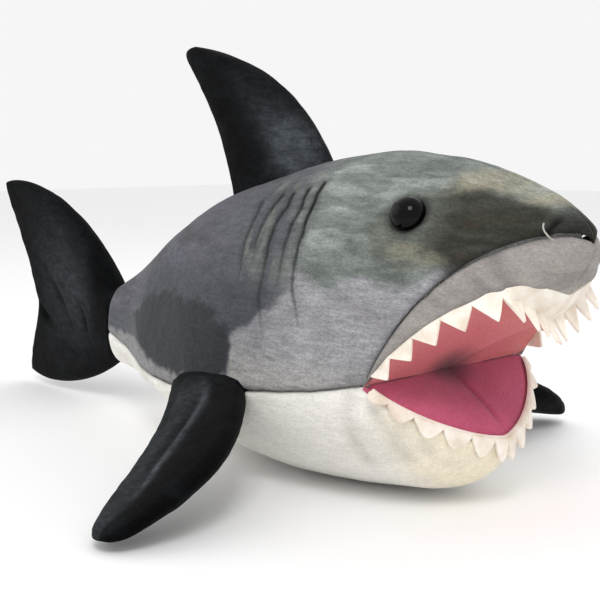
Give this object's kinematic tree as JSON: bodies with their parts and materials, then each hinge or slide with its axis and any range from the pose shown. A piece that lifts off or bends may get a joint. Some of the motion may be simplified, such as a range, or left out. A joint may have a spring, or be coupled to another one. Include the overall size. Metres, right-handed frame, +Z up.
{
  "type": "plush shark toy",
  "caption": "Stuffed plush shark with an open lined mouth, felt teeth, glossy domed eyes and soft sewn-on dorsal, pectoral and tail fins.",
  "frame": {"origin": "bottom centre of the bounding box, on the flat of the belly that the toy rests on", "axes": "+X to the nose, +Y to the toy's left, +Z up"},
  "size_m": [0.5617, 0.374, 0.2582],
  "materials": {
    "grey_plush": "short pile plush, printed greys",
    "muzzle_plush": "short pile plush, grey beige",
    "white_plush": "short pile plush, cream white",
    "black_plush": "short pile plush, black",
    "palate_cloth": "thin knit lining, salmon pink",
    "floor_cloth": "thin knit lining, magenta pink",
    "tooth_felt": "cream felt",
    "fibre_fill": "polyester fibre stuffing",
    "eye_plastic": "gloss black",
    "washer_plastic": "natural white"
  },
  "bodies": {
    "torso": {"body_stuffing": "fibre_fill", "back_panel_right": "grey_plush", "back_panel_left": "grey_plush", "belly_panel": "white_plush", "muzzle_panel_right": "muzzle_plush", "muzzle_panel_left": "muzzle_plush", "palate_lining": "palate_cloth", "upper_teeth": "tooth_felt", "eye_right": "eye_plastic", "eye_left": "eye_plastic", "eye_washer_right": "washer_plastic", "eye_washer_left": "washer_plastic"},
    "lower_jaw": {"chin_panel": "white_plush", "mouth_floor_lining": "floor_cloth", "lower_teeth": "tooth_felt", "jaw_stuffing": "fibre_fill"},
    "dorsal_fin": {"dorsal_skin_right": "black_plush", "dorsal_skin_left": "black_plush", "dorsal_stuffing": "fibre_fill"},
    "pectoral_fin_right": {"pectoral_right_top_skin": "black_plush", "pectoral_right_under_skin": "black_plush", "pectoral_right_stuffing": "fibre_fill"},
    "pectoral_fin_left": {"pectoral_left_top_skin": "black_plush", "pectoral_left_under_skin": "black_plush", "pectoral_left_stuffing": "fibre_fill"},
    "tail_fin": {"tail_skin_right": "black_plush", "tail_skin_left": "black_plush", "tail_stuffing": "fibre_fill"}
  },
  "joints": [
    {"name": "jaw_hinge", "type": "hinge", "parent": "torso", "child": "lower_jaw", "pos_m": [0.1915, 0, 0.07], "axis": [0, -1, 0], "range_deg": [0, 30], "stiffness_Nm_per_rad": 0.2},
    {"name": "dorsal_flop", "type": "hinge", "parent": "torso", "child": "dorsal_fin", "pos_m": [0.0572, 0, 0.1803], "axis": [0.9728, 0, 0.2317], "range_deg": [-30, 30], "stiffness_Nm_per_rad": 0.1},
    {"name": "pectoral_right_flap", "type": "hinge", "parent": "torso", "child": "pectoral_fin_right", "pos_m": [0.0775, -0.0811, 0.0466], "axis": [-0.9865, 0.0863, -0.1392], "range_deg": [-10, 50], "stiffness_Nm_per_rad": 0.1},
    {"name": "pectoral_left_flap", "type": "hinge", "parent": "torso", "child": "pectoral_fin_left", "pos_m": [0.0775, 0.0811, 0.0466], "axis": [0.9865, 0.0863, 0.1392], "range_deg": [-10, 50], "stiffness_Nm_per_rad": 0.1},
    {"name": "tail_swing", "type": "hinge", "parent": "torso", "child": "tail_fin", "pos_m": [-0.1295, 0, 0.06], "axis": [0, 0, 1], "range_deg": [-30, 30], "stiffness_Nm_per_rad": 0.2}
  ]
}
